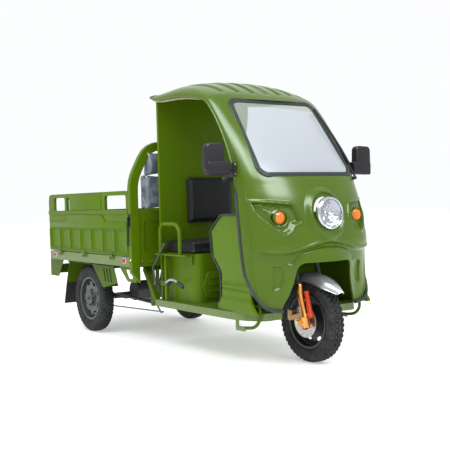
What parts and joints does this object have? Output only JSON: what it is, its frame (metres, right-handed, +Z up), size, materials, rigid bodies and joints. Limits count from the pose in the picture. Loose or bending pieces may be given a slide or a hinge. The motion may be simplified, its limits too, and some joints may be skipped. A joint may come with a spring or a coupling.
{
  "type": "electric cargo tricycle",
  "caption": "Electric cargo tricycle with an open-sided hard-roof cab, a steered front wheel and a drop-side load bed over the rear axle.",
  "frame": {"origin": "centre of the overall length and width, on the ground under the tyres", "axes": "+Z up, +Y to the rear of the vehicle, +X to the vehicle's left"},
  "size_m": [1.3226, 3.005, 1.8],
  "materials": {
    "green_paint": "glossy olive green paint",
    "dark_frame": "dark painted steel",
    "window_glass": "clear safety glass with a pale tint",
    "black_rubber": "matt black rubber",
    "tyre_rubber": "black tyre rubber",
    "black_plastic": "satin black moulding",
    "black_vinyl": "black vinyl cover",
    "grey_wrap": "grey film over padding",
    "bright_chrome": "bright plating",
    "amber_lens": "clear amber moulding",
    "red_lens": "clear red moulding",
    "gold_anodised": "gold orange anodising",
    "red_anodised": "red orange anodising",
    "bronze_cast": "bronze coloured casting",
    "brake_steel": "ground brake steel",
    "rim_grey": "grey painted wheel steel"
  },
  "bodies": {
    "tricycle": {"chassis_frame": "dark_frame", "cab_floor": "green_paint", "inner_fairing": "green_paint", "front_fascia": "green_paint", "cab_roof": "green_paint", "windscreen": "window_glass", "windscreen_seal": "black_rubber", "wiper": "black_plastic", "headlamp": "bright_chrome", "turn_signal_right": "amber_lens", "turn_signal_left": "amber_lens", "mirror_right": "black_plastic", "mirror_left": "black_plastic", "cab_rear_wall": "green_paint", "seat_box": "green_paint", "battery_pack": "black_plastic", "seat_cushion": "black_vinyl", "backrest_pad": "black_vinyl", "grab_rail_right": "green_paint", "grab_rail_left": "green_paint", "parking_lever": "bright_chrome", "brake_rod": "dark_frame", "bed_floor": "green_paint", "bed_hoop": "green_paint", "bed_front_panel": "green_paint", "hoop_pad_lower": "grey_wrap", "hoop_pad_upper": "grey_wrap", "mudguard_right": "green_paint", "mudguard_left": "green_paint", "mud_flap_right": "black_rubber", "mud_flap_left": "black_rubber", "rear_beam": "green_paint", "tail_lamp_right": "red_lens", "tail_lamp_left": "red_lens", "latch_right": "black_plastic", "latch_left": "black_plastic", "rear_axle": "dark_frame", "leaf_spring_right": "dark_frame", "leaf_spring_left": "dark_frame"},
    "steering": {"fork_yokes": "dark_frame", "fork_sliders": "gold_anodised", "fork_reservoir_right": "red_anodised", "fork_reservoir_left": "red_anodised", "brake_caliper": "bronze_cast", "handlebar": "dark_frame", "front_mudguard": "bright_chrome"},
    "front_wheel": {"front_tyre": "tyre_rubber", "front_rim": "dark_frame", "brake_disc": "brake_steel"},
    "rear_wheel_right": {"rear_tyre_right": "tyre_rubber", "rear_rim_right": "rim_grey"},
    "rear_wheel_left": {"rear_tyre_left": "tyre_rubber", "rear_rim_left": "rim_grey"},
    "drop_side_right": {"side_panel_right": "green_paint"},
    "drop_side_left": {"side_panel_left": "green_paint"},
    "drop_tailgate": {"tailgate": "green_paint"}
  },
  "joints": [
    {"name": "steering", "type": "hinge", "parent": "tricycle", "child": "steering", "pos_m": [0, -1.172, 0.518], "axis": [0, 0.2622, 0.965], "range_deg": [-35, 35]},
    {"name": "front_wheel_spin", "type": "hinge", "parent": "steering", "child": "front_wheel", "pos_m": [0, -1.228, 0.253], "axis": [1, 0, 0], "continuous": true},
    {"name": "rear_wheel_right_spin", "type": "hinge", "parent": "tricycle", "child": "rear_wheel_right", "pos_m": [-0.4475, 0.848, 0.261], "axis": [1, 0, 0], "continuous": true},
    {"name": "rear_wheel_left_spin", "type": "hinge", "parent": "tricycle", "child": "rear_wheel_left", "pos_m": [0.4475, 0.848, 0.261], "axis": [1, 0, 0], "continuous": true},
    {"name": "side_panel_right_fold", "type": "hinge", "parent": "tricycle", "child": "drop_side_right", "pos_m": [-0.571, 0.727, 0.6227], "axis": [0, -1, 0], "range_deg": [0, 175]},
    {"name": "side_panel_left_fold", "type": "hinge", "parent": "tricycle", "child": "drop_side_left", "pos_m": [0.571, 0.727, 0.6227], "axis": [0, 1, 0], "range_deg": [0, 175]},
    {"name": "tailgate_fold", "type": "hinge", "parent": "tricycle", "child": "drop_tailgate", "pos_m": [0, 1.436, 0.6227], "axis": [-1, 0, 0], "range_deg": [0, 155]}
  ]
}
